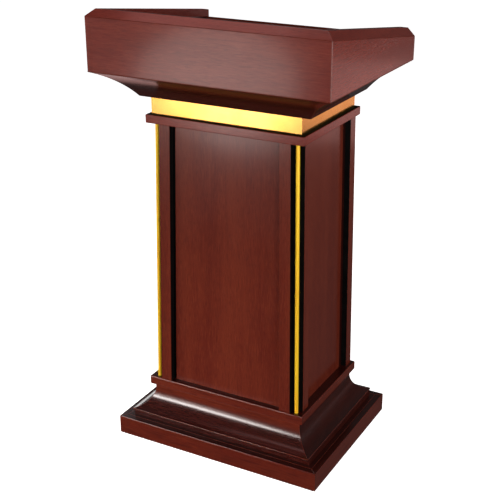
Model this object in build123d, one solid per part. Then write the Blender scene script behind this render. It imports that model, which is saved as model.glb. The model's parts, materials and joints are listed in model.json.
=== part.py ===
from build123d import *
import os
from math import asin, degrees, radians, tan

# Presentation lectern: hollow stepped base, square column with brass corner rods, brass
# neck band, and a bevelled desk with a sloping writing board.
# Origin: centre of the footprint on the floor. +Z up. -Y is the audience side (front),
# +Y is the speaker's side (rear), +X is on the right of somebody who looks along +Y.

# ---- overall ----
TOP_HEIGHT = 1180.0            # floor to the highest line of the front rim
BOARD = 18.0                   # thickness of the hidden carcass boards

# ---- plinth, step and base moulding ----
GLIDE_GAP = 3.0                # plinth stands this far off the floor
PLINTH_HALF_X = 301.0
PLINTH_HALF_Y = 232.0
PLINTH_TOP = 56.0
STEP_HALF_X = 271.0
STEP_HALF_Y = 203.0
STEP_TOP = 76.0
SLAB_HALF_X = 233.0
SLAB_HALF_Y = 174.0
SLAB_BOTTOM = 148.0
SLAB_TOP = 173.0
COVE_RADIUS = 60.0             # concave quarter round between the step and the slab
COVE_SETBACK = 11.0            # its top edge lies this far inside the slab's edge
COVE_REACH = 37.0              # its bottom edge lies this far outside the slab's edge
COVE_BACK = 40.0               # its flat back lies this far inside the slab's edge
BASE_BLOCK = 40.0              # glue blocks inside the base corners
PLINTH_BLOCK = 50.0            # glue blocks under the plinth panel
GLIDE_RADIUS = 12.0
GLIDE_THICKNESS = 5.0

# ---- column ----
COLUMN_HALF_X = 210.0          # half width under the cap
COLUMN_HALF_Y = 163.0          # front face under the cap, from the middle
COLUMN_REAR = 165.0            # rear face, which is upright
SPREAD_X = 13.0                # each side spreads this much between the cap and the foot
SPREAD_Y = 8.5                 # the front spreads this much
COLUMN_TOP = 893.0
NOTCH = 26.0                   # square rebate down each front corner of the column
STILE = 32.0                   # face width of a front post beside its rebate
REAR_STILE = 32.0              # width of a rear post seen from the side
JAMB_X = 157.0                 # inner faces of the rear posts, which are upright
PANEL_RECESS = 16.0            # panels lie this far behind the faces of the posts
PANEL = 12.0
GROOVE = 8.0                   # depth of the panel grooves in the posts
ROD_RADIUS = 5.0
ROD_INSET = 13.0               # rod axis, from both outer faces of the column
POST_EDGE = 2.0                # rounding of the posts' long edges

# ---- cap, neck and desk ----
CAP_HALF_X = 221.0
CAP_HALF_Y = 167.0
CAP_TOP = 915.0
NECK_HALF_X = 209.0
NECK_HALF_Y = 155.0
NECK_TOP = 960.0
BAND = 1.5                     # brass strip round the neck
DESK_HALF_X = 325.0
DESK_HALF_Y = 256.0
DESK_BOTTOM = 1030.0
SOFFIT_RUN = 89.0              # the hollow moulding under the desk runs in this far
SOFFIT_SAG = 8.0               # depth of its curve, measured from the chord
SOFFIT_BACK = 130.0            # its flat back lies this far inside the desk's edge
DESK_BOARD = 25.0
RIM_WIDTH = 43.0
RIM_DEPTH = 20.0               # thickness of the rim, measured vertically
RIM_BEVEL = 20.0
RIM_SLOPE = 8.2                # degrees, falls towards the speaker
RIM_EDGE = 1.5                 # rounding of the exposed edges of boards
CORNER_EASE = 1.5              # flat taken off the desk's upright front corners
JOINT_LINE = 1.0               # small groove between the desk boards and the rim
WELL_DEPTH = 38.0              # writing surface below the top of the rim
LEDGE_THICKNESS = 14.0
LEDGE_HEIGHT = 18.0            # paper ledge above the writing surface
LEDGE_HOUSING = 3.0            # and let into the writing board this deep

# ---- shelves, door and ironmongery ----
SHELF_TOP = 711.0              # fixed shelf between the open compartment and the cupboard
LOOSE_SHELF_BOTTOM = 432.5
LOOSE_SHELF = 16.0
PIN_RADIUS = 2.5
PIN_LENGTH = 20.0
PIN_FROM_EDGE = 15.0           # pin axis, from the inner corner of its post
DOOR_GAP = 3.0
HINGE_LEAF = 1.4
HINGE_HEIGHT = 64.0
HINGE_DEPTH = 16.0
KNUCKLE_RADIUS = 4.0
KNUCKLE_STANDOFF = 4.6         # pin axis, out from the door's face
HINGE_PIN_RADIUS = 2.0
RUNNING_CLEARANCE = 0.05
HINGE_FROM_END = 80.0          # hinge centre, from the end of the door
LOCK_X = -125.0
LOCK_Z = 500.0
KNOB_Z = 430.0
CATCH_X = -80.0
CATCH_DROP = 14.0              # height of the magnetic catch under the fixed shelf
BARREL_RADIUS = 8.0
PLUG_RADIUS = 5.0
CAM_REACH = 30.0
CAM_WIDTH = 14.0

# ---- worked out from the driving dimensions ----
POST = NOTCH + STILE
POST_X = COLUMN_HALF_X - POST            # inner faces of the front posts under the cap
INNER_Y = COLUMN_HALF_Y - POST
COLUMN_HEIGHT = COLUMN_TOP - SLAB_TOP
PANEL_X = COLUMN_HALF_X - PANEL_RECESS   # outer faces of the panels
PANEL_Y = COLUMN_HALF_Y - PANEL_RECESS
SHELF_BOTTOM = SHELF_TOP - BOARD
DOOR_HALF_X = JAMB_X - DOOR_GAP
DOOR_BOTTOM = SLAB_TOP + DOOR_GAP
DOOR_TOP = SHELF_BOTTOM - DOOR_GAP
DOOR_FACE = COLUMN_REAR
DOOR_BACK = COLUMN_REAR - BOARD
HINGE_X = JAMB_X - DOOR_GAP / 2
HINGE_Y = DOOR_FACE + KNUCKLE_STANDOFF
HINGE_CENTRES = (DOOR_BOTTOM + HINGE_FROM_END, DOOR_TOP - HINGE_FROM_END)
SLOPE = tan(radians(RIM_SLOPE))
QUARTERS = ((-1, -1), (1, -1), (-1, 1), (1, 1))
SIDES = {"front": (0, -1), "rear": (0, 1), "left": (-1, 0), "right": (1, 0)}


# ---------------------------------------------------------------- helpers
def board(x0, x1, y0, y1, z0, z1, edge=0.0):
    """A rectangular board between two corners, with its edges rounded by edge."""
    centre = ((x0 + x1) / 2, (y0 + y1) / 2, (z0 + z1) / 2)
    body = Pos(*centre) * Box(x1 - x0, y1 - y0, z1 - z0)
    return fillet(body.edges(), edge) if edge else body


def rod(start, direction, radius, length):
    """A round bar from start along direction."""
    plane = Plane(origin=start, z_dir=direction)
    return extrude(plane * Circle(radius), length)


def turned(start, direction, profile):
    """A turned solid: profile lists (distance along the axis, radius)."""
    first = (0, profile[0][0])
    last = (0, profile[-1][0])
    outline = Polyline(first, *[(radius, along) for along, radius in profile], last, close=True)
    spin = revolve(make_face(Plane.XZ * outline), Axis.Z)
    return Plane(origin=start, z_dir=direction) * spin


def keep_below(body, point, normal):
    """Cut body with a plane and keep the part behind the plane's normal."""
    return split(body, bisect_by=Plane(origin=point, z_dir=normal), keep=Keep.BOTTOM)


def keep_above(body, point, normal):
    """Cut body with a plane and keep the part in front of the plane's normal."""
    return split(body, bisect_by=Plane(origin=point, z_dir=normal), keep=Keep.TOP)


def moulding(face, side, half_x, half_y, mitre_ends=(True, True)):
    """Run a section along one side of a rectangle and mitre its ends.

    face is drawn as (distance outside the rectangle, height). mitre_ends says which of the
    two ends are cut at 45 degrees; the other one is left long.
    """
    out_x, out_y = SIDES[side]
    outward = Vector(out_x, out_y, 0)
    along = Vector(-out_y, out_x, 0)
    reach, span = (half_x, half_y) if out_x else (half_y, half_x)
    plane = Plane(origin=outward * reach, x_dir=outward, z_dir=outward.cross(Vector(0, 0, 1)))
    body = extrude(plane * face, span + DESK_HALF_X, both=True)
    for end, wanted in zip((1, -1), mitre_ends):
        if wanted:
            corner = outward * reach + along * (span * end)
            body = keep_below(body, corner, along * end - outward)
    return body


def ease_front_corners(body, half_x, half_y):
    """Take the sharp edge off the two upright front corners."""
    for sign in (-1, 1):
        body = keep_below(body, (sign * (half_x - CORNER_EASE), -half_y, 0), (sign, -1, 0))
    return body


def rectangle_face(low, high):
    """A rectangular section between two opposite corners."""
    width, height = high[0] - low[0], high[1] - low[1]
    return Pos((low[0] + high[0]) / 2, (low[1] + high[1]) / 2) * Rectangle(width, height)


def group(solids):
    """Several separate solids kept as one item."""
    return Compound(children=[part.solid() for part in solids])


def wood_screw(start, direction, length, shank=1.6, head=3.2):
    """Countersunk screw; start is the centre of its flat head."""
    depth = head - shank
    return turned(start, direction, [(0, head), (depth, shank), (length - 3, shank), (length, 0.4)])


# ---------------------------------------------------------------- base
def plinth():
    """Four mitred skirt boards round a panel, on glue blocks with nail-in glides."""
    parts = {}
    skirt = rectangle_face((-BOARD, GLIDE_GAP), (0, PLINTH_TOP))
    exposed = [v for v in skirt.vertices() if v.X > -1]
    skirt = fillet(exposed, RIM_EDGE)
    for side in SIDES:
        parts[f"plinth_{side}_board"] = moulding(skirt, side, PLINTH_HALF_X, PLINTH_HALF_Y)
    panel_x = PLINTH_HALF_X - BOARD
    panel_y = PLINTH_HALF_Y - BOARD
    parts["plinth_panel"] = board(-panel_x, panel_x, -panel_y, panel_y, PLINTH_TOP - BOARD, PLINTH_TOP)
    glides = []
    for sign_x, sign_y in QUARTERS:
        centre = (sign_x * (panel_x - PLINTH_BLOCK / 2), sign_y * (panel_y - PLINTH_BLOCK / 2), 0)
        foot = [(0, GLIDE_RADIUS - 1), (1, GLIDE_RADIUS), (GLIDE_THICKNESS, GLIDE_RADIUS)]
        nail = [(GLIDE_THICKNESS, 1.2), (GLIDE_THICKNESS + 14, 1.2), (GLIDE_THICKNESS + 17, 0.3)]
        glides.append(turned(centre, (0, 0, 1), foot + nail))
    parts["floor_glides"] = group(glides)
    return parts


def glue_blocks(glides):
    """Square blocks in the corners of the plinth and of the base."""
    blocks = []
    for (sign_x, sign_y), glide in zip(QUARTERS, glides.solids()):
        x = sign_x * (PLINTH_HALF_X - BOARD - PLINTH_BLOCK / 2)
        y = sign_y * (PLINTH_HALF_Y - BOARD - PLINTH_BLOCK / 2)
        height = PLINTH_TOP - BOARD - GLIDE_THICKNESS
        middle = GLIDE_THICKNESS + height / 2
        blocks.append(Pos(x, y, middle) * Box(PLINTH_BLOCK, PLINTH_BLOCK, height) - glide)
    for sign_x, sign_y in QUARTERS:
        x = sign_x * (SLAB_HALF_X - COVE_BACK - BASE_BLOCK / 2)
        y = sign_y * (SLAB_HALF_Y - COVE_BACK - BASE_BLOCK / 2)
        height = SLAB_BOTTOM - STEP_TOP
        blocks.append(Pos(x, y, STEP_TOP + height / 2) * Box(BASE_BLOCK, BASE_BLOCK, height))
    return {"glue_blocks": group(blocks)}


def base():
    """Step board, concave base moulding and the slab that carries the column."""
    parts = {}
    parts["step_board"] = board(
        -STEP_HALF_X, STEP_HALF_X, -STEP_HALF_Y, STEP_HALF_Y, PLINTH_TOP, STEP_TOP, RIM_EDGE
    )
    centre_out = COVE_RADIUS - COVE_SETBACK
    centre_up = STEP_TOP + COVE_RADIUS
    turn = 90 - degrees(asin((centre_out - COVE_REACH) / COVE_RADIUS))
    curve = CenterArc((centre_out, centre_up), COVE_RADIUS, 180, turn)
    back = Polyline(
        curve @ 1,
        (COVE_REACH, STEP_TOP),
        (-COVE_BACK, STEP_TOP),
        (-COVE_BACK, SLAB_BOTTOM),
        (-COVE_SETBACK, SLAB_BOTTOM),
        curve @ 0,
    )
    section = make_face(curve + back)
    for side in SIDES:
        parts[f"base_cove_{side}"] = moulding(section, side, SLAB_HALF_X, SLAB_HALF_Y)
    parts["base_slab"] = board(
        -SLAB_HALF_X, SLAB_HALF_X, -SLAB_HALF_Y, SLAB_HALF_Y, SLAB_BOTTOM, SLAB_TOP, 2 * RIM_EDGE
    )
    return parts


# ---------------------------------------------------------------- column
def leaning(face, spread_x, spread_y):
    """Extrude a section drawn under the cap down to the slab, moving outwards on the way."""
    run = Vector(spread_x, spread_y, -COLUMN_HEIGHT)
    return extrude(Pos(0, 0, COLUMN_TOP) * face, amount=run.length, dir=run.normalized())


def front_post():
    """Right front post: a rebate for the brass rod runs down its outer corner."""
    corners = [
        (POST_X, -INNER_Y),
        (COLUMN_HALF_X, -INNER_Y),
        (COLUMN_HALF_X, NOTCH - COLUMN_HALF_Y),
        (COLUMN_HALF_X - NOTCH, NOTCH - COLUMN_HALF_Y),
        (COLUMN_HALF_X - NOTCH, -COLUMN_HALF_Y),
        (POST_X, -COLUMN_HALF_Y),
    ]
    outline = make_face(Polyline(*corners, close=True))
    outer = [v for v in outline.vertices() if max(v.X - COLUMN_HALF_X, -v.Y - COLUMN_HALF_Y) > -0.01]
    return leaning(fillet(outer, POST_EDGE), SPREAD_X, -SPREAD_Y)


def rear_post():
    """Right rear post: its outer side leans and its other faces are upright."""
    inside = PANEL_X - PANEL
    hidden_x = JAMB_X - SPREAD_X - 1
    corners = [
        (hidden_x, INNER_Y),
        (inside, INNER_Y),
        (inside, COLUMN_REAR - REAR_STILE),
        (COLUMN_HALF_X, COLUMN_REAR - REAR_STILE),
        (COLUMN_HALF_X, COLUMN_REAR),
        (hidden_x, COLUMN_REAR),
    ]
    outline = make_face(Polyline(*corners, close=True))
    outer = [v for v in outline.vertices() if v.X > COLUMN_HALF_X - 0.01]
    post = leaning(fillet(outer, POST_EDGE), SPREAD_X, 0)
    return keep_below(post, (JAMB_X, 0, 0), (-1, 0, 0))


def panels():
    """Front and side panels that stand in the grooves of the posts."""
    front = rectangle_face((-COLUMN_HALF_X, -PANEL_Y), (COLUMN_HALF_X, PANEL - PANEL_Y))
    front = leaning(front, 0, -SPREAD_Y)
    for sign in (-1, 1):
        top_corner = (sign * (POST_X + GROOVE), 0, COLUMN_TOP)
        front = keep_below(front, top_corner, (sign * COLUMN_HEIGHT, 0, SPREAD_X))
    side_end = COLUMN_REAR - REAR_STILE + GROOVE
    right = rectangle_face((PANEL_X - PANEL, -COLUMN_HALF_Y), (PANEL_X, side_end))
    right = leaning(right, SPREAD_X, 0)
    top_corner = (0, -INNER_Y - GROOVE, COLUMN_TOP)
    right = keep_below(right, top_corner, (0, -COLUMN_HEIGHT, SPREAD_Y))
    return {"front_panel": front, "right_panel": right, "left_panel": mirror(right, Plane.YZ)}


def corner_rods():
    """Brass rods that stand in the front rebates between the slab and the cap."""
    rods = []
    for sign in (-1, 1):
        centre = Pos(sign * (COLUMN_HALF_X - ROD_INSET), ROD_INSET - COLUMN_HALF_Y)
        rods.append(leaning(centre * Circle(ROD_RADIUS), sign * SPREAD_X, -SPREAD_Y))
    return {"corner_rods": group(rods)}


def post_screws():
    """Long screws up through the slab and down through the cap into each post."""
    shank, head, length = 3.5, 6.0, 65.0
    front_x = POST_X + STILE / 2
    front_y = -INNER_Y - STILE / 2
    rear = (JAMB_X + STILE / 2, COLUMN_REAR - STILE / 2)
    screws = []
    for sign in (-1, 1):
        for x, y in ((front_x, front_y), rear):
            screws.append(wood_screw((sign * x, y, CAP_TOP), (0, 0, -1), length, shank, head))
        for x, y in ((front_x + SPREAD_X, front_y - SPREAD_Y), rear):
            screws.append(wood_screw((sign * x, y, SLAB_BOTTOM), (0, 0, 1), length, shank, head))
    return {"post_screws": group(screws)}


def shelves():
    """Fixed shelf between the panels, loose shelf below it and its four pins.

    The fixed shelf is drawn oversize here; the posts and panels are cut out of it later.
    """
    oversize = 4.5
    wide = PANEL_X - PANEL + oversize
    front_edge = PANEL - PANEL_Y - oversize
    fixed = board(-wide, wide, front_edge, COLUMN_REAR, SHELF_BOTTOM, SHELF_TOP)
    loose_top = LOOSE_SHELF_BOTTOM + LOOSE_SHELF
    half = JAMB_X - DOOR_GAP
    rear_edge = INNER_Y + PIN_FROM_EDGE + 8
    loose = board(-half, half, -rear_edge - 8, rear_edge, LOOSE_SHELF_BOTTOM, loose_top, 0.8)
    pins = []
    for sign_x, sign_y in QUARTERS:
        inner_end = sign_x * (half - 5)
        start = (inner_end, sign_y * (INNER_Y + PIN_FROM_EDGE), LOOSE_SHELF_BOTTOM - PIN_RADIUS)
        pins.append(rod(start, (sign_x, 0, 0), PIN_RADIUS, PIN_LENGTH))
    return {"fixed_shelf": fixed, "loose_shelf": loose, "shelf_pins": group(pins)}


# ---------------------------------------------------------------- door
def hinges():
    """Butt hinges: a leaf on the post, a leaf on the door's edge and a pin."""
    leaf_start = DOOR_FACE - HINGE_DEPTH
    third = HINGE_HEIGHT / 3
    frame_leaves, door_leaves, pins = [], [], []
    for centre in HINGE_CENTRES:
        low = centre - HINGE_HEIGHT / 2
        high = centre + HINGE_HEIGHT / 2
        frame = board(JAMB_X - HINGE_LEAF, JAMB_X, leaf_start, DOOR_FACE, low, high)
        door = board(DOOR_HALF_X, DOOR_HALF_X + HINGE_LEAF, leaf_start, DOOR_FACE, low, high)
        for index in range(3):
            z0 = low + index * third + (0.2 if index else 0)
            z1 = low + (index + 1) * third - (0.2 if index < 2 else 0)
            knuckle = rod((HINGE_X, HINGE_Y, z0), (0, 0, 1), KNUCKLE_RADIUS, z1 - z0)
            if index == 1:
                arm = board(DOOR_HALF_X, DOOR_HALF_X + HINGE_LEAF, DOOR_FACE - 1, HINGE_Y, z0, z1)
                door += arm + knuckle
            else:
                arm = board(JAMB_X - HINGE_LEAF, JAMB_X, DOOR_FACE - 1, HINGE_Y, z0, z1)
                frame += arm + knuckle
        foot = (HINGE_X, HINGE_Y, low)
        tight = rod(foot, (0, 0, 1), HINGE_PIN_RADIUS, HINGE_HEIGHT)
        running = rod(foot, (0, 0, 1), HINGE_PIN_RADIUS + RUNNING_CLEARANCE, HINGE_HEIGHT)
        frame_leaves.append(frame - tight)
        door_leaves.append(door - running)
        pin = [(0, HINGE_PIN_RADIUS), (HINGE_HEIGHT, HINGE_PIN_RADIUS)]
        cap = [(HINGE_HEIGHT, 3.2), (HINGE_HEIGHT + 1.5, 3.2), (HINGE_HEIGHT + 2.5, 2.0)]
        pins.append(turned(foot, (0, 0, 1), pin + cap))
    return frame_leaves, door_leaves, pins


def door_ironmongery():
    """Knob, cam lock, strike and magnetic catch, placed on the closed door."""
    parts = {}
    knob = [(0, 10), (2, 10), (4, 6), (12, 6), (16, 12), (20, 15), (24, 14), (27, 9), (28, 0.5)]
    parts["door_knob"] = turned((LOCK_X, DOOR_FACE, KNOB_Z), (0, 1, 0), knob)
    screw = [(0, 4.2), (2.4, 4.2), (2.4, 2.0), (BOARD + 14, 2.0)]
    parts["knob_screw"] = turned((LOCK_X, DOOR_BACK - 2.4, KNOB_Z), (0, 1, 0), screw)
    parts["door_knob"] -= parts["knob_screw"]

    barrel_inner = DOOR_BACK - 8
    under_flange = BOARD + 8
    barrel = [(0, BARREL_RADIUS), (under_flange, BARREL_RADIUS)]
    flange = [(under_flange, 11), (under_flange + 1.2, 11), (under_flange + 2, 10)]
    housing = turned((LOCK_X, barrel_inner, LOCK_Z), (0, 1, 0), barrel + flange)
    bore = rod((LOCK_X, barrel_inner, LOCK_Z), (0, 1, 0), PLUG_RADIUS + RUNNING_CLEARANCE, BOARD + 10)
    parts["lock_housing"] = housing - bore
    hexagon = Plane(origin=(LOCK_X, DOOR_BACK, LOCK_Z), z_dir=(0, -1, 0)) * RegularPolygon(12.5, 6)
    nut = extrude(hexagon, 4)
    parts["lock_nut"] = nut - rod((LOCK_X, DOOR_BACK, LOCK_Z), (0, -1, 0), BARREL_RADIUS, 4)

    cam_back = barrel_inner - 2.5
    plug = rod((LOCK_X, barrel_inner - 0.3, LOCK_Z), (0, 1, 0), PLUG_RADIUS, BOARD + 10)
    plug += Pos(LOCK_X, barrel_inner - 1.4, LOCK_Z) * Box(6, 2.2, 6)
    face = barrel_inner - 0.3 + BOARD + 10
    plug -= Pos(LOCK_X, face, LOCK_Z) * Box(1.4, 6, 6.5)
    fixing = [(0, 3.6), (0.6, 4.4), (2.2, 4.4), (2.2, 1.8), (12, 1.8)]
    cam_screw = turned((LOCK_X, cam_back - 2.2, LOCK_Z), (0, 1, 0), fixing)
    half = CAM_WIDTH / 2
    tongue = board(
        LOCK_X - half, LOCK_X + half, cam_back, cam_back + 2, LOCK_Z - CAM_REACH, LOCK_Z + 8
    )
    tongue = fillet(tongue.edges().filter_by(Axis.Y), 4)
    parts["lock_cam"] = tongue - Pos(LOCK_X, cam_back + 1, LOCK_Z) * Box(6, 2, 6)
    parts["lock_plug"] = plug - cam_screw
    parts["lock_cam_screw"] = cam_screw

    post_face = -JAMB_X
    leg_front = cam_back + 2.5
    plate = board(post_face, post_face + 1.5, leg_front, DOOR_FACE - 4, LOCK_Z - 20, LOCK_Z + 20)
    leg = board(post_face, post_face + 15, leg_front, leg_front + 2, LOCK_Z - 20, LOCK_Z + 20)
    parts["lock_strike"] = plate + leg

    catch_low = SHELF_BOTTOM - CATCH_DROP
    parts["magnet_catch"] = board(
        CATCH_X - 22, CATCH_X + 22, DOOR_BACK - 26, DOOR_BACK - 2, catch_low, SHELF_BOTTOM, 0.8
    )
    parts["catch_plate"] = board(
        CATCH_X - 18, CATCH_X + 18, DOOR_BACK - 1.5, DOOR_BACK, DOOR_TOP - 15, DOOR_TOP - 1
    )
    return parts


def frame_screws():
    """Screws that fix the hinges, strike and catch to the carcass."""
    screws = []
    across = DOOR_FACE - HINGE_DEPTH / 2
    for centre in HINGE_CENTRES:
        for offset in (-22, 0, 22):
            screws.append(wood_screw((JAMB_X - HINGE_LEAF, across, centre + offset), (1, 0, 0), 15))
    for offset in (-11, 11):
        screws.append(wood_screw((1.5 - JAMB_X, across, LOCK_Z + offset), (-1, 0, 0), 15))
    for offset in (-16, 16):
        head = (CATCH_X + offset, DOOR_BACK - 14, SHELF_BOTTOM - CATCH_DROP)
        screws.append(wood_screw(head, (0, 0, 1), 26))
    return screws


def door_screws():
    """Screws that fix the hinges and the catch plate to the door."""
    screws = []
    across = DOOR_FACE - HINGE_DEPTH / 2
    for centre in HINGE_CENTRES:
        for offset in (-22, 0, 22):
            head = (DOOR_HALF_X + HINGE_LEAF, across, centre + offset)
            screws.append(wood_screw(head, (-1, 0, 0), 15))
    screws.append(wood_screw((CATCH_X, DOOR_BACK - 1.5, DOOR_TOP - 8), (0, 1, 0), 14))
    return screws


def cut_by(body, tools):
    """Take every tool out of body."""
    for tool in tools:
        body = body - tool
    return body


def door():
    """The door, everything that is fixed to it, and what meets it on the carcass."""
    frame_leaves, door_leaves, pins = hinges()
    into_frame = frame_screws()
    into_door = door_screws()
    parts = door_ironmongery()
    panel = board(-DOOR_HALF_X, DOOR_HALF_X, DOOR_BACK, DOOR_FACE, DOOR_BOTTOM, DOOR_TOP, 0.8)
    panel -= rod((LOCK_X, DOOR_BACK, LOCK_Z), (0, 1, 0), BARREL_RADIUS, BOARD)
    panel = cut_by(panel, [parts["knob_screw"]] + into_door)
    parts["rear_door"] = panel
    parts["hinge_frame_leaves"] = group([cut_by(leaf, into_frame[:6]) for leaf in frame_leaves])
    parts["hinge_door_leaves"] = group([cut_by(leaf, into_door[:6]) for leaf in door_leaves])
    parts["hinge_pins"] = group(pins)
    parts["lock_strike"] = cut_by(parts["lock_strike"], into_frame)
    parts["magnet_catch"] = cut_by(parts["magnet_catch"], into_frame)
    parts["catch_plate"] = cut_by(parts["catch_plate"], into_door)
    parts["frame_screws"] = group(into_frame)
    parts["door_screws"] = group(into_door)
    return parts


# ---------------------------------------------------------------- cap, neck and desk
def neck():
    """Cap board, four neck boards and the brass strips round them."""
    parts = {}
    parts["column_cap"] = board(
        -CAP_HALF_X, CAP_HALF_X, -CAP_HALF_Y, CAP_HALF_Y, COLUMN_TOP, CAP_TOP, RIM_EDGE
    )
    inside = rectangle_face((-BAND - BOARD, CAP_TOP), (-BAND, NECK_TOP))
    strip = rectangle_face((-BAND, CAP_TOP), (0, NECK_TOP))
    parts["neck_boards"] = group([moulding(inside, side, NECK_HALF_X, NECK_HALF_Y) for side in SIDES])
    parts["brass_band"] = group([moulding(strip, side, NECK_HALF_X, NECK_HALF_Y) for side in SIDES])
    return parts


def soffit():
    """The hollow moulding that widens from the neck to the desk."""
    lip = 2.0
    curve = SagittaArc((0, DESK_BOTTOM - lip), (-SOFFIT_RUN, NECK_TOP), -SOFFIT_SAG)
    back = Polyline(
        (-SOFFIT_RUN, NECK_TOP), (-SOFFIT_BACK, NECK_TOP), (-SOFFIT_BACK, DESK_BOTTOM), (0, DESK_BOTTOM),
        (0, DESK_BOTTOM - lip)
    )
    section = make_face(curve + back)
    return {f"soffit_{side}": moulding(section, side, DESK_HALF_X, DESK_HALF_Y) for side in SIDES}


def slope_plane(drop):
    """A point and the normal of the desk's slope, drop below the top of the rim."""
    return (0, RIM_BEVEL - DESK_HALF_Y, TOP_HEIGHT - drop), (0, SLOPE, 1)


def bevel_plane(side, drop):
    """A point and the normal of the bevel on one side of the rim, lowered by drop."""
    edge_height = TOP_HEIGHT - RIM_DEPTH + RIM_BEVEL * SLOPE - drop
    out_x, out_y = SIDES[side]
    corner = (out_x * DESK_HALF_X, -DESK_HALF_Y, edge_height)
    return corner, (out_x, SLOPE + out_y * RIM_DEPTH / RIM_BEVEL, 1)


def three_sides(low, high, depth_out, depth_in):
    """Front, left and right boards of the desk, mitred in front and square behind."""
    face = rectangle_face((-depth_in, low), (-depth_out, high))
    pieces = {}
    for side, ends in (("front", (True, True)), ("left", (True, False)), ("right", (False, True))):
        body = moulding(face, side, DESK_HALF_X, DESK_HALF_Y, ends)
        body = keep_below(body, (0, DESK_HALF_Y, 0), (0, 1, 0))
        if depth_out == 0:
            body = ease_front_corners(body, DESK_HALF_X, DESK_HALF_Y)
        pieces[side] = body
    return pieces


def desk():
    """Desk box: bottom board, outer boards and linings, bearers, writing board and ledge."""
    parts = {}
    lined = DESK_BOARD + BOARD
    floor_top = DESK_BOTTOM + BOARD
    outer = three_sides(DESK_BOTTOM, TOP_HEIGHT, 0, DESK_BOARD)
    lining = three_sides(floor_top, TOP_HEIGHT, DESK_BOARD, lined)
    rim_point, rim_normal = slope_plane(RIM_DEPTH)
    for side, body in outer.items():
        body = keep_below(body, rim_point, rim_normal)
        parts[f"desk_{side}_board"] = keep_below(body, *bevel_plane(side, JOINT_LINE))
    parts["desk_linings"] = group([keep_below(body, rim_point, rim_normal) for body in lining.values()])

    inside_x = DESK_HALF_X - DESK_BOARD
    inside_y = DESK_HALF_Y - DESK_BOARD
    back_front = DESK_HALF_Y - BOARD
    bottom = board(-inside_x, inside_x, -inside_y, back_front, DESK_BOTTOM, floor_top)
    parts["desk_bottom_board"] = bottom
    under_point, under_normal = slope_plane(WELL_DEPTH + BOARD)
    well_x = DESK_HALF_X - lined
    back = board(-inside_x, inside_x, back_front, DESK_HALF_Y, DESK_BOTTOM, floor_top)
    back += board(-well_x, well_x, back_front, DESK_HALF_Y, DESK_BOTTOM, TOP_HEIGHT)
    parts["desk_back_board"] = keep_below(back, under_point, under_normal)
    bearers = []
    lined_front = lined - DESK_HALF_Y
    for x in (-well_x + BOARD / 2, 0, well_x - BOARD / 2):
        x0, x1 = x - BOARD / 2, x + BOARD / 2
        bearer = board(x0, x1, lined_front, back_front, floor_top, TOP_HEIGHT)
        bearers.append(keep_below(bearer, under_point, under_normal))
    parts["desk_bearers"] = group(bearers)

    sheet = board(-well_x, well_x, lined_front, DESK_HALF_Y, DESK_BOTTOM, TOP_HEIGHT)
    sheet = keep_below(sheet, *slope_plane(WELL_DEPTH))
    sheet = keep_above(sheet, under_point, under_normal)
    ledge_y = DESK_HALF_Y - LEDGE_THICKNESS
    ledge_foot = (0, ledge_y, TOP_HEIGHT - WELL_DEPTH - SLOPE * (ledge_y + DESK_HALF_Y - RIM_BEVEL))
    ledge = board(-well_x, well_x, 0, DESK_HALF_Y, DESK_BOTTOM, TOP_HEIGHT)
    ledge = keep_above(ledge, *slope_plane(WELL_DEPTH + LEDGE_HOUSING))
    ledge = keep_above(ledge, ledge_foot, (0, 1, -SLOPE))
    parts["writing_board"] = sheet - ledge
    parts["paper_ledge"] = keep_below(ledge, *slope_plane(WELL_DEPTH - LEDGE_HEIGHT))
    return parts


def round_top_edges(body, side):
    """Round the two long upper edges of a rim piece."""
    run = Vector(*SIDES[side], 0).cross(Vector(0, 0, 1))
    lengthwise = [edge for edge in body.edges() if abs((edge % 0.5).dot(run)) > 0.9]
    highest = sorted(lengthwise, key=lambda edge: (edge @ 0.5).Z)[-2:]
    return fillet(highest, RIM_EDGE)


def rim():
    """Three mitred lippings whose top slopes with the desk and whose outer edge is bevelled."""
    under_point, under_normal = slope_plane(RIM_DEPTH)
    top_point, top_normal = slope_plane(0)
    parts = {}
    for side, body in three_sides(DESK_BOTTOM, TOP_HEIGHT + BOARD, 0, RIM_WIDTH).items():
        body = keep_below(body, top_point, top_normal)
        body = keep_above(body, under_point, under_normal)
        body = keep_below(body, *bevel_plane(side, 0))
        parts[f"rim_{side}"] = round_top_edges(body, side)
    return parts


# ---------------------------------------------------------------- assembly
def lectern():
    """Every piece of the lectern by name."""
    parts = {}
    parts.update(plinth())
    parts.update(glue_blocks(parts["floor_glides"]))
    parts.update(base())
    parts.update(panels())
    parts.update(corner_rods())
    parts.update(post_screws())
    parts.update(shelves())
    parts.update(door())
    parts.update(neck())
    parts.update(soffit())
    parts.update(desk())
    parts.update(rim())
    frame_fixings = parts["frame_screws"].solids()
    long_screws = parts["post_screws"].solids()
    walls = [parts[f"{side}_panel"] for side in ("front", "left", "right")]
    cutters = frame_fixings + long_screws + parts["shelf_pins"].solids() + walls
    for end, post in (("front", front_post()), ("rear", rear_post())):
        for side, shape in (("right", post), ("left", mirror(post, Plane.YZ))):
            parts[f"corner_post_{end}_{side}"] = cut_by(shape, cutters)
            walls.append(parts[f"corner_post_{end}_{side}"])
    parts["fixed_shelf"] = cut_by(parts["fixed_shelf"], frame_fixings[-2:] + walls)
    parts["base_slab"] = cut_by(parts["base_slab"], long_screws)
    parts["column_cap"] = cut_by(parts["column_cap"], long_screws)
    return parts


os.makedirs("parts", exist_ok=True)
for node, shape in lectern().items():
    export_step(shape, f"parts/{node}.step")
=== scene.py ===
import json
import math

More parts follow.
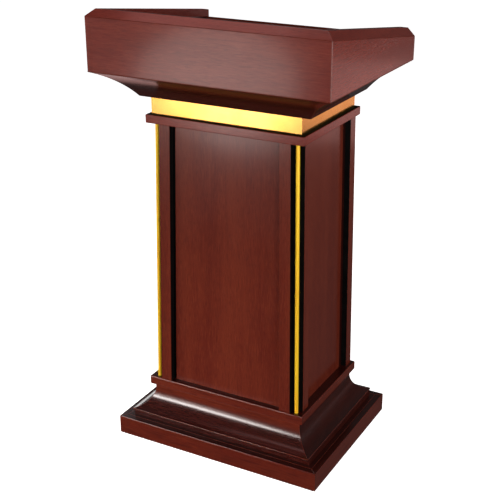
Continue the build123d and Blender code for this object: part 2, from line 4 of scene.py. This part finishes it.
import bpy
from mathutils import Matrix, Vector


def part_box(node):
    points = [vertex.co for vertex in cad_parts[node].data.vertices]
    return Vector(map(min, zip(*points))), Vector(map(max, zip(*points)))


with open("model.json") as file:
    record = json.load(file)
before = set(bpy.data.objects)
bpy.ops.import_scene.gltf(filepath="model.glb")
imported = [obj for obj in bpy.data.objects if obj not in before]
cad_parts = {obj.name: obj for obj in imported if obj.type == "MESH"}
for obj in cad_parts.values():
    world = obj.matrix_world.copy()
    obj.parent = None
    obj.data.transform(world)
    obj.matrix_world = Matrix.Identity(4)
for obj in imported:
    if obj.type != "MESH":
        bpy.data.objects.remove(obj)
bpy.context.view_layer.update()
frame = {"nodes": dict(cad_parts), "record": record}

NODES = frame["nodes"]
PARTS = frame["record"]["subparts"]
BOXES = {name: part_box(name) for name in NODES}

# ---------------------------------------------------------------- the column, in metres
COLUMN_FOOT, COLUMN_TOP = BOXES["front_panel"][0].z, BOXES["front_panel"][1].z
SPREAD_X, SPREAD_Y = 0.013, 0.0085       # how far the sides and the front lean out at the foot
SIDE, FRONT, REAR = 0.210, 0.163, 0.165  # the column's faces under the cap
NOTCH = 0.026                            # the rebate that each rod stands in
STILE = 0.032                            # what shows of a post beside its panel
RECESS = 0.016                           # a little more than the panels are set back
NEAR = 0.0006                            # how close to a plane the centre of a face on it lies

# ---------------------------------------------------------------- camera
CAMERA_PLACE = (1.2224, -2.2786, 1.5882)
CAMERA_AZIMUTH = math.radians(28.459)
CAMERA_DOWN = math.radians(22.241)
CAMERA_LENS = 75.09
SENSOR_WIDTH = 36.0

camera_data = bpy.data.cameras.new("camera")
camera_data.lens = CAMERA_LENS
camera_data.sensor_width = SENSOR_WIDTH
camera = bpy.data.objects.new("camera", camera_data)
camera.location = CAMERA_PLACE
camera.rotation_euler = (math.pi / 2 - CAMERA_DOWN, 0.0, CAMERA_AZIMUTH)
bpy.context.scene.collection.objects.link(camera)
bpy.context.scene.camera = camera
bpy.context.scene.view_settings.view_transform = "Standard"


# ---------------------------------------------------------------- shader helpers
class Shader:
    """A material's node tree, with short ways to add and join nodes."""

    def __init__(self, name):
        self.material = bpy.data.materials.new(name)
        self.material.use_nodes = True
        self.tree = self.material.node_tree
        self.surface = self.tree.nodes["Principled BSDF"]
        self.place = self.add("ShaderNodeTexCoord").outputs["Object"]

    def add(self, kind, **settings):
        node = self.tree.nodes.new(kind)
        for key, value in settings.items():
            setattr(node, key, value)
        return node

    def feed(self, node, key, value):
        """Join a socket to an input, or set the input to a plain value."""
        if isinstance(value, bpy.types.NodeSocket):
            self.tree.links.new(value, node.inputs[key])
        else:
            node.inputs[key].default_value = value

    def dress(self, **inputs):
        """Feed the surface's inputs; base_color stands for Base Color."""
        for key, value in inputs.items():
            self.feed(self.surface, key.replace("_", " ").title(), value)

    def scaled(self, scale):
        """The piece's own coordinates, stretched by scale."""
        node = self.add("ShaderNodeMapping")
        self.feed(node, "Vector", self.place)
        self.feed(node, "Scale", scale)
        return node.outputs["Vector"]

    def noise(self, coords, scale, detail=2.0, roughness=0.5, distortion=0.0):
        node = self.add("ShaderNodeTexNoise")
        self.feed(node, "Vector", coords)
        self.feed(node, "Scale", scale)
        self.feed(node, "Detail", detail)
        self.feed(node, "Roughness", roughness)
        self.feed(node, "Distortion", distortion)
        return node.outputs["Fac"]

    def calc(self, operation, first, second=0.0):
        node = self.add("ShaderNodeMath", operation=operation)
        self.feed(node, 0, first)
        self.feed(node, 1, second)
        return node.outputs[0]

    def share(self, value, amount):
        """A part of a value, such as a mask at less than its full strength."""
        return self.calc("MULTIPLY", value, amount)

    def remap(self, value, low, high, to_low=0.0, to_high=1.0, kind="SMOOTHSTEP"):
        node = self.add("ShaderNodeMapRange", interpolation_type=kind)
        self.feed(node, "Value", value)
        self.feed(node, "From Min", low)
        self.feed(node, "From Max", high)
        self.feed(node, "To Min", to_low)
        self.feed(node, "To Max", to_high)
        return node.outputs["Result"]

    def blend(self, factor, first, second):
        """A colour that goes from first to second; each is a socket or an (r, g, b)."""
        node = self.add("ShaderNodeMix", data_type="RGBA")
        self.feed(node, "Factor", factor)
        for key, value in (("A", first), ("B", second)):
            socket = [s for s in node.inputs if s.name == key and s.type == "RGBA"][0]
            if isinstance(value, bpy.types.NodeSocket):
                self.tree.links.new(value, socket)
            else:
                socket.default_value = (*value, 1.0)
        return [s for s in node.outputs if s.type == "RGBA"][0]

    def bump(self, height, distance, strength):
        node = self.add("ShaderNodeBump")
        self.feed(node, "Height", height)
        self.feed(node, "Distance", distance)
        self.feed(node, "Strength", strength)
        return node.outputs["Normal"]

    def axes(self):
        """The X, Y and Z of the piece's own coordinates."""
        node = self.add("ShaderNodeSeparateXYZ")
        self.feed(node, "Vector", self.place)
        return node.outputs


# ---------------------------------------------------------------- materials
# Wood is stretched along one axis. Its colours are its dark, middle and light tones.
GRAIN = {"x": (1.0, 15.0, 15.0), "y": (15.0, 1.0, 15.0), "z": (15.0, 15.0, 1.0)}
RED_WOOD = ((0.098, 0.0112, 0.0052), (0.138, 0.0200, 0.0085), (0.190, 0.0330, 0.0135))
# The next tones, a lighter and rosier copy of the red mahogany, are painted light on the desk, rim and
# cap.
PAINTED_LIGHT_TONES = ((0.145, 0.0150, 0.0085), (0.195, 0.0260, 0.0150), (0.255, 0.0430, 0.0240))
# The next tones, a darker copy of the mahogany, are painted shade in hollows, on ledge tops and under the
# desk.
PAINTED_SHADE_TONES = ((0.020, 0.0024, 0.0014), (0.040, 0.0050, 0.0028), (0.075, 0.0130, 0.0070))
PORE = (0.045, 0.0060, 0.0040)
RUBBED_WOOD = (0.28, 0.070, 0.038)
# The next colour is painted shade on the side panels' strips by the rear posts.
MARGIN_SHADE = (0.0200, 0.0026, 0.0018)
# Black for the posts' rebates and reveals; it is also painted shade on the cap's top and by the front
# panel's posts.
BLACK_TONE, DUSTY_BLACK_TONE = (0.0016, 0.0012, 0.0012), (0.0045, 0.0036, 0.0032)
PINE_DARK, PINE_LIGHT = (0.42, 0.26, 0.13), (0.62, 0.44, 0.26)

# How much of its light tone, pores, orange peel and pore depth each veneer shows, from 0 to 1.
LIGHT_STREAKS, PORES, PEEL, PORE_DEPTH = 0.45, 0.40, 0.2, 0.5

LACQUER = {"Specular IOR Level": 0.30, "Coat Weight": 0.45, "Coat Roughness": 0.11, "Coat IOR": 1.45}
DEEP_LACQUER = {"Specular IOR Level": 0.12, "Coat Weight": 0.75, "Coat Roughness": 0.17, "Coat IOR": 1.45}

# Heights between which the painted shade on the hollow mouldings and the soffits fades, full below to none
# above.
FRONT_HOLLOW_SHADE, SIDE_HOLLOW_SHADE, SOFFIT_SHADE = (0.098, 0.140), (0.130, 0.170), (0.990, 1.010)

# The strip of each panel along its posts, which is painted shade: its coordinate, where the posts' sides
# are at the top, how far they lean out from there, the strip's width and its colour.
FRONT_MARGIN = ("X", SIDE - NOTCH - STILE, SPREAD_X, 0.0062, BLACK_TONE)
SIDE_MARGIN = ("Y", REAR - STILE, 0.0, 0.013, MARGIN_SHADE)
MARGIN_BLUR = 0.001


def margin_mask(shader, direction, at_top, lean, width):
    """1 on the strip of a panel that is nearest to its posts, where the painted shade goes, and 0 on the
    rest of it.
    """
    axes = shader.axes()
    posts = shader.remap(axes["Z"], COLUMN_FOOT, COLUMN_TOP, at_top + lean, at_top, kind="LINEAR")
    inside = shader.calc("SUBTRACT", posts, shader.calc("ABSOLUTE", axes[direction]))
    return shader.remap(inside, width, width + MARGIN_BLUR, 1.0, 0.0)


def mahogany(
    name, grain, tones=RED_WOOD, lacquer=LACQUER,
    streak=0.25, clouding=0.25, rubbed=0.0, painted_shade_heights=None, margin=None,
):
    """Gloss lacquer over mahogany veneer whose grain runs along one axis."""
    shader = Shader(name)
    along = shader.scaled(GRAIN[grain])
    cloud = shader.noise(shader.place, scale=3.0, detail=3.0)
    waves = shader.noise(along, scale=1.6, detail=4.0, roughness=0.55, distortion=0.3)
    figure = shader.remap(waves, 0.25, 0.75)
    lines = shader.noise(along, scale=14.0, detail=3.0, roughness=0.6)
    fine = shader.noise(along, scale=34.0)
    pores = shader.remap(shader.noise(along, scale=60.0, detail=1.0, roughness=0.4), 0.54, 0.70)

    def veneer(palette):
        dark, mid, light = palette
        tone = shader.blend(figure, dark, mid)
        tone = shader.blend(shader.share(shader.remap(fine, 0.45, 0.75), LIGHT_STREAKS), tone, light)
        return shader.blend(shader.share(shader.remap(cloud, 0.35, 0.7), clouding), tone, dark)

    colour = veneer(tones)
    # Painted shade: the darker veneer, full below the lower height and none above the upper one.
    if painted_shade_heights:
        low, high = painted_shade_heights
        shade_depth = shader.remap(shader.axes()["Z"], low, high, 1.0, 0.0)
        colour = shader.blend(shade_depth, colour, veneer(PAINTED_SHADE_TONES))
    colour = shader.blend(shader.share(shader.remap(lines, 0.50, 0.70), streak), colour, PORE)
    colour = shader.blend(shader.share(pores, PORES), colour, PORE)
    if rubbed:
        wear = shader.remap(shader.noise(shader.place, scale=45.0, detail=4.0, roughness=0.65), 0.40, 0.75)
        colour = shader.blend(shader.share(wear, rubbed), colour, RUBBED_WOOD)
    # A darker strip by the posts: painted shade.
    if margin:
        *strip, strip_shade = margin
        colour = shader.blend(margin_mask(shader, *strip), colour, strip_shade)

    smudge = shader.noise(shader.place, scale=8.0, detail=3.0, roughness=0.6)
    peel = shader.noise(shader.place, scale=220.0)
    height = shader.calc("SUBTRACT", shader.share(peel, PEEL), shader.share(pores, PORE_DEPTH))
    shader.dress(
        base_color=colour,
        roughness=shader.remap(smudge, 0.2, 0.8, 0.22, 0.27),
        normal=shader.bump(height, distance=0.0002, strength=0.20),
    )
    for key, value in lacquer.items():
        shader.feed(shader.surface, key, value)
    return shader.material


def black_and_painted_shade():
    """Satin black, a little dusty, on the posts' rebates and reveals; on the column cap's top it is
    painted shade.
    """
    shader = Shader("black_and_painted_shade")
    dust = shader.noise(shader.place, scale=40.0, detail=4.0, roughness=0.6)
    shader.dress(
        base_color=shader.blend(shader.remap(dust, 0.35, 0.8), BLACK_TONE, DUSTY_BLACK_TONE),
        roughness=shader.remap(dust, 0.2, 0.8, 0.55, 0.7),
        normal=shader.bump(dust, distance=0.0001, strength=0.3),
    )
    shader.feed(shader.surface, "Specular IOR Level", 0.05)
    return shader.material


def plain_wood(name, grain):
    """Unfinished softwood and plywood of the hidden carcass."""
    shader = Shader(name)
    along = shader.scaled(GRAIN[grain])
    rings = shader.noise(along, scale=5.0, detail=4.0, roughness=0.6, distortion=0.6)
    shader.dress(
        base_color=shader.blend(shader.remap(rings, 0.3, 0.7), PINE_DARK, PINE_LIGHT),
        roughness=shader.remap(rings, 0.2, 0.8, 0.55, 0.75),
        normal=shader.bump(rings, distance=0.0004, strength=0.4),
    )
    return shader.material


def metal(name, light, dark, roughness, spread=0.08, brushing=(1.0, 1.0, 1.0), metallic=1.0):
    """A polished or satin metal with faint brushing, tarnish and fine scratches."""
    shader = Shader(name)
    tarnish = shader.noise(shader.place, scale=14.0, detail=4.0, roughness=0.6)
    brush = shader.noise(shader.scaled(brushing), scale=220.0, detail=3.0, roughness=0.6)
    shader.dress(
        base_color=shader.blend(shader.remap(tarnish, 0.35, 0.8), light, dark),
        metallic=metallic,
        roughness=shader.remap(brush, 0.3, 0.7, roughness, roughness + spread),
        normal=shader.bump(brush, distance=0.00004, strength=0.25),
    )
    return shader.material


def nylon(name, dark, light):
    """Moulded plastic with a fine texture."""
    shader = Shader(name)
    texture = shader.noise(shader.place, scale=600.0)
    shader.dress(
        base_color=shader.blend(texture, dark, light),
        roughness=shader.remap(texture, 0.2, 0.8, 0.45, 0.6),
        normal=shader.bump(texture, distance=0.0001, strength=0.4),
    )
    return shader.material


def along_each_axis(name, **settings):
    """The same mahogany three times, with its grain along x, y and z."""
    return {axis: mahogany(f"{name}_along_{axis}", axis, **settings) for axis in GRAIN}


red = along_each_axis("mahogany")
worn = along_each_axis("mahogany_edge", rubbed=0.45)
# The darker copy of the mahogany, used as painted shade.
painted_shade_wood = along_each_axis("mahogany_painted_shade", tones=PAINTED_SHADE_TONES, lacquer=DEEP_LACQUER, streak=0.7)
moulding = along_each_axis("mahogany_moulding", streak=0.6, clouding=0.8)
painted_light_wood = along_each_axis("mahogany_painted_light", tones=PAINTED_LIGHT_TONES)
hollow = {"lacquer": DEEP_LACQUER, "streak": 0.5}
front_hollow = mahogany("mahogany_front_hollow", "x", painted_shade_heights=FRONT_HOLLOW_SHADE, **hollow)
side_hollow = mahogany("mahogany_side_hollow", "y", painted_shade_heights=SIDE_HOLLOW_SHADE, **hollow)
front_soffit = mahogany("mahogany_front_soffit", "x", painted_shade_heights=SOFFIT_SHADE, streak=0.3)
side_soffit = mahogany("mahogany_side_soffit", "y", painted_shade_heights=SOFFIT_SHADE, streak=0.3)
front_panel = mahogany("mahogany_front_panel", "z", margin=FRONT_MARGIN, streak=0.15)
side_panel = mahogany("mahogany_side_panel", "z", margin=SIDE_MARGIN, streak=0.15)
black = black_and_painted_shade()
carcass = {axis: plain_wood(f"carcass_along_{axis}", axis) for axis in GRAIN}
gilt = metal(
    "gilt_rod", (1.0, 0.61, 0.020), (0.97, 0.48, 0.014),
    roughness=0.32, spread=0.10, brushing=(1.0, 1.0, 0.1), metallic=0.20,
)
polished_brass = metal(
    "polished_brass", (1.0, 0.58, 0.15), (0.96, 0.52, 0.11),
    roughness=0.18, spread=0.07, brushing=(1.0, 1.0, 6.0),
)
satin_brass = metal(
    "satin_brass", (0.82, 0.60, 0.28), (0.62, 0.42, 0.17),
    roughness=0.28, brushing=(6.0, 6.0, 1.0),
)

SLOT_MATERIALS = {
    "polished_brass": polished_brass,
    "hinge_brass": satin_brass,
    "zinc_steel": metal("zinc_steel", (0.62, 0.61, 0.58), (0.42, 0.42, 0.41), roughness=0.3),
    "lock_chrome": metal("bright_nickel", (0.80, 0.79, 0.76), (0.66, 0.65, 0.62), roughness=0.1),
    "black_nylon": nylon("black_nylon", (0.012, 0.012, 0.013), (0.0292, 0.0292, 0.0308)),
}
OWN_WOOD = {
    "front_panel": front_panel,
    "left_panel": side_panel,
    "right_panel": side_panel,
    "base_cove_front": front_hollow,
    "base_cove_rear": front_hollow,
    "base_cove_left": side_hollow,
    "base_cove_right": side_hollow,
    # The step board is all painted shade.
    "step_board": painted_shade_wood["x"],
    "soffit_front": front_soffit,
    "soffit_rear": front_soffit,
    "soffit_left": side_soffit,
    "soffit_right": side_soffit,
    "base_slab": moulding["x"],
    "plinth_front_board": moulding["x"],
    "plinth_rear_board": moulding["x"],
    "plinth_left_board": moulding["y"],
    "plinth_right_board": moulding["y"],
}
# Pieces that take the lighter copy of the mahogany, as painted light.
PAINTED_LIGHT_PIECES = ("desk", "rim", "column_cap")
UPRIGHT = ("front_panel", "left_panel", "right_panel", "rear_door")
# The third slot holds black, the fourth the darker copy of the wood, which is painted shade.
BODY, EDGE, BLACK_AND_SHADE, PAINTED_SHADE = 0, 1, 2, 3    # the material slots of a lacquered piece
FACING = 0.9                             # how much of a face's normal points the way it faces


def grain_axis(name):
    """The way the grain runs: along the longest side, and up the panels and the door."""
    if name in UPRIGHT:
        return "z"
    low, high = BOXES[name]
    size = high - low
    return "xyz"[max(range(3), key=lambda i: size[i])]


def piece_materials(name, finish):
    """The materials of a piece, in the order of its slots."""
    axis = grain_axis(name)
    if finish == "mahogany_lacquer":
        common = painted_light_wood[axis] if name.startswith(PAINTED_LIGHT_PIECES) else red[axis]
        return [OWN_WOOD.get(name, common), worn[axis], black, painted_shade_wood[axis]]
    if finish == "carcass_wood":
        return [carcass[axis]]
    if name == "corner_rods":
        return [gilt]
    return [SLOT_MATERIALS[finish]]


def is_reveal(name, centre, normal):
    """True for the faces of a post that are black: its rebate and its sides by the panels."""
    down = (COLUMN_TOP - centre.z) / (COLUMN_TOP - COLUMN_FOOT)
    across = abs(centre.x) - SPREAD_X * down
    if abs(normal.z) > FACING:
        return False
    if "rear" in name:
        return abs(centre.y - REAR + STILE) < NEAR and across > SIDE - RECESS
    along = -centre.y - SPREAD_Y * down
    in_rebate = min(across - SIDE, along - FRONT) > -NOTCH - NEAR
    on_rebate = abs(across - SIDE + NOTCH) < NEAR or abs(along - FRONT + NOTCH) < NEAR
    inner = NOTCH + STILE
    by_front_panel = abs(across - SIDE + inner) < NEAR and along > FRONT - RECESS
    by_side_panel = abs(along - FRONT + inner) < NEAR and across > SIDE - RECESS
    return (in_rebate and on_rebate) or by_front_panel or by_side_panel


def face_slot(name, centre, normal):
    """The material slot of one face of a lacquered piece."""
    if name.startswith("corner_post") and is_reveal(name, centre, normal):
        return BLACK_AND_SHADE
    # The cap's top is black as painted shade under the band.
    if name == "column_cap" and normal.z > FACING:
        return BLACK_AND_SHADE
    # The tops of the plinth and slab take the darker wood as painted shade.
    if name.startswith(("plinth", "base_slab")) and normal.z > FACING:
        return PAINTED_SHADE
    # The linings' end faces take the darker wood as painted shade.
    if name == "desk_linings" and abs(normal.x) > FACING:
        return PAINTED_SHADE
    return BODY


for part in PARTS:
    name, finish = part["node"], part["material_slot"]
    data = NODES[name].data
    data.materials.clear()
    for material in piece_materials(name, finish):
        data.materials.append(material)
    lacquered = finish == "mahogany_lacquer"
    for polygon in data.polygons:
        polygon.material_index = face_slot(name, polygon.center, polygon.normal) if lacquered else BODY


# ---------------------------------------------------------------- floor and backdrop
FLOOR_HALF = 30.0
FLOOR_SHADES = (0.86, 0.86, 0.855), (0.90, 0.90, 0.895)
floor_shader = Shader("studio_floor")
cloud = floor_shader.noise(floor_shader.place, scale=0.8, detail=3.0)
floor_shader.dress(
    base_color=floor_shader.blend(cloud, *FLOOR_SHADES),
    roughness=0.7,
    emission_color=(1.0, 1.0, 1.0, 1.0),
    emission_strength=1.0,
)
floor_mesh = bpy.data.meshes.new("studio_floor")
corners = [(x * FLOOR_HALF, y * FLOOR_HALF, 0.0) for x, y in ((-1, -1), (1, -1), (1, 1), (-1, 1))]
floor_mesh.from_pydata(corners, [], [(0, 1, 2, 3)])
floor_mesh.materials.append(floor_shader.material)
floor = bpy.data.objects.new("studio_floor", floor_mesh)
bpy.context.scene.collection.objects.link(floor)
floor.visible_diffuse = False
floor.visible_glossy = False

# The studio is dim at eye level and below it, a little brighter overhead, and has a white backdrop.
DOME = {"From Min": 0.35, "From Max": 0.95, "To Min": 0.05, "To Max": 0.10}
world = bpy.data.worlds.new("studio")
world.use_nodes = True
tree = world.node_tree
split = tree.nodes.new("ShaderNodeSeparateXYZ")
tree.links.new(tree.nodes.new("ShaderNodeTexCoord").outputs["Generated"], split.inputs["Vector"])
dome = tree.nodes.new("ShaderNodeMapRange")
dome.interpolation_type = "SMOOTHSTEP"
tree.links.new(split.outputs["Z"], dome.inputs["Value"])
for key, value in DOME.items():
    dome.inputs[key].default_value = value
backdrop = tree.nodes.new("ShaderNodeMath")
backdrop.operation = "MAXIMUM"
tree.links.new(dome.outputs["Result"], backdrop.inputs[0])
tree.links.new(tree.nodes.new("ShaderNodeLightPath").outputs["Is Camera Ray"], backdrop.inputs[1])
background = tree.nodes["Background"]
background.inputs["Color"].default_value = (1.0, 1.0, 1.0, 1.0)
tree.links.new(backdrop.outputs[0], background.inputs["Strength"])
bpy.context.scene.world = world

# ---------------------------------------------------------------- lights
WHITE = (1.0, 1.0, 1.0)
PALE = (1.0, 0.93, 0.90)
CREAM = (1.0, 0.87, 0.82)
WARM = (1.0, 0.58, 0.55)
ROSE = (1.0, 0.50, 0.48)
OPEN = 180          # the spread in degrees of a light with no grid


def softbox(name, place, target, size, brightness, colour=WHITE, spread=OPEN, shape="RECTANGLE"):
    """A soft studio light of a given brightness, narrowed by a grid to spread degrees."""
    data = bpy.data.lights.new(name, "AREA")
    data.shape = shape
    data.size, data.size_y = size
    area = size[0] * size[1] * (math.pi / 4 if shape == "ELLIPSE" else 1.0)
    data.energy = brightness * math.pi * area
    if spread < OPEN:
        half = math.radians(spread) / 2
        data.spread = 2 * half
        data.energy *= (math.tan(half) - half) / math.tan(half)    # a grid adds brightness ahead
    data.color = colour
    lamp = bpy.data.objects.new(name, data)
    lamp.location = place
    lamp.rotation_euler = (Vector(target) - Vector(place)).to_track_quat("-Z", "Y").to_euler()
    lamp.visible_camera = False
    bpy.context.scene.collection.objects.link(lamp)
    return lamp


def keep_off(lamp, *names):
    """Keep a light off some pieces, as a flag beside it does in a studio."""
    shaded = bpy.data.collections.new(lamp.name + "_flag")
    for name in names:
        shaded.objects.link(NODES[name])
    lamp.light_linking.receiver_collection = shaded
    for item in shaded.collection_objects:
        item.light_linking.link_state = "EXCLUDE"


DESK, MIDDLE = (0.0, 0.0, 1.2), (0.0, 0.0, 0.6)    # where the large lights point

# Cards in front, which the lacquer and the brass mirror: the highlight along the front hollow
# moulding, the glow in the middle of the desk's front board, and the band's pale middle.
softbox("key_strip", (-1.40, -2.6, 0.91), (0.0, -0.2, 0.05), (1.1, 0.48), 40.0, PALE, spread=34)
low_card = softbox(
    "low_card", (-1.33, -2.6, 0.40), (0.0, 0.0, 0.9), (0.80, 0.60), 4.75, CREAM, shape="ELLIPSE"
)
keep_off(low_card, "desk_left_board")
softbox("band_card", (-1.24, -2.6, 0.15), (0.0, -0.2, 0.95), (0.45, 0.20), 1.8, shape="ELLIPSE")

# Large soft lights all round, and one over the desk.
softbox("fill_light", (1.9, -3.4, 1.1), DESK, (3.2, 2.1), 4.6, spread=90)
softbox("right_light", (3.0, -1.4, 1.1), DESK, (2.4, 2.0), 5.2, spread=80)
softbox("left_light", (-3.0, -1.4, 0.9), MIDDLE, (2.4, 1.7), 3.7)
softbox("rear_light", (0.1, 3.4, 0.5), MIDDLE, (1.2, 0.8), 3.0)
softbox("rear_left", (-3.0, 1.6, 1.1), MIDDLE, (2.2, 1.8), 2.9)
softbox("rear_right", (3.2, 1.3, 1.0), MIDDLE, (2.2, 1.8), 2.2)
softbox("top_light", (0.0, 0.0, 2.05), (0.0, -0.1, 1.15), (0.6, 0.3), 5.0)

# Dim cards for the bevelled rim, the desk's right-hand side and the soffit's left-hand end.
softbox("rim_card", (-0.70, -0.30, 2.42), (0.0, -0.25, 1.17), (1.0, 0.6), 1.6, ROSE)
softbox("side_card", (1.6, 2.8, 0.21), (0.25, 0.0, 0.95), (1.5, 0.42), 0.95, WARM, spread=44)
softbox("under_card", (-0.86, 0.65, 0.25), (-0.25, -0.23, 1.0), (0.6, 0.5), 0.9, WARM, spread=60)

# ---------------------------------------------------------------- edges
WOOD_EDGE = 0.0007                     # metres
WELD_DISTANCE = 0.00001
FLAT_WITHIN, EDGE_OVER = math.radians(0.3), math.radians(30)


def soften_edges(piece):
    """Join the facets of each flat, round its edges and keep the flats looking flat."""
    weld = piece.modifiers.new("weld", "WELD")
    weld.merge_threshold = WELD_DISTANCE
    flats = piece.modifiers.new("flats", "DECIMATE")
    flats.decimate_type = "DISSOLVE"
    flats.angle_limit = FLAT_WITHIN
    flats.delimit = {"MATERIAL"}
    bevel = piece.modifiers.new("edges", "BEVEL")
    bevel.width = WOOD_EDGE
    bevel.segments = 2
    bevel.limit_method = "ANGLE"
    bevel.angle_limit = EDGE_OVER
    bevel.material = EDGE
    normals = piece.modifiers.new("normals", "WEIGHTED_NORMAL")
    normals.keep_sharp = False
    normals.weight = 100


for part in PARTS:
    piece = NODES[part["node"]]
    piece.data.shade_smooth()
    if part["material_slot"] == "mahogany_lacquer":
        soften_edges(piece)
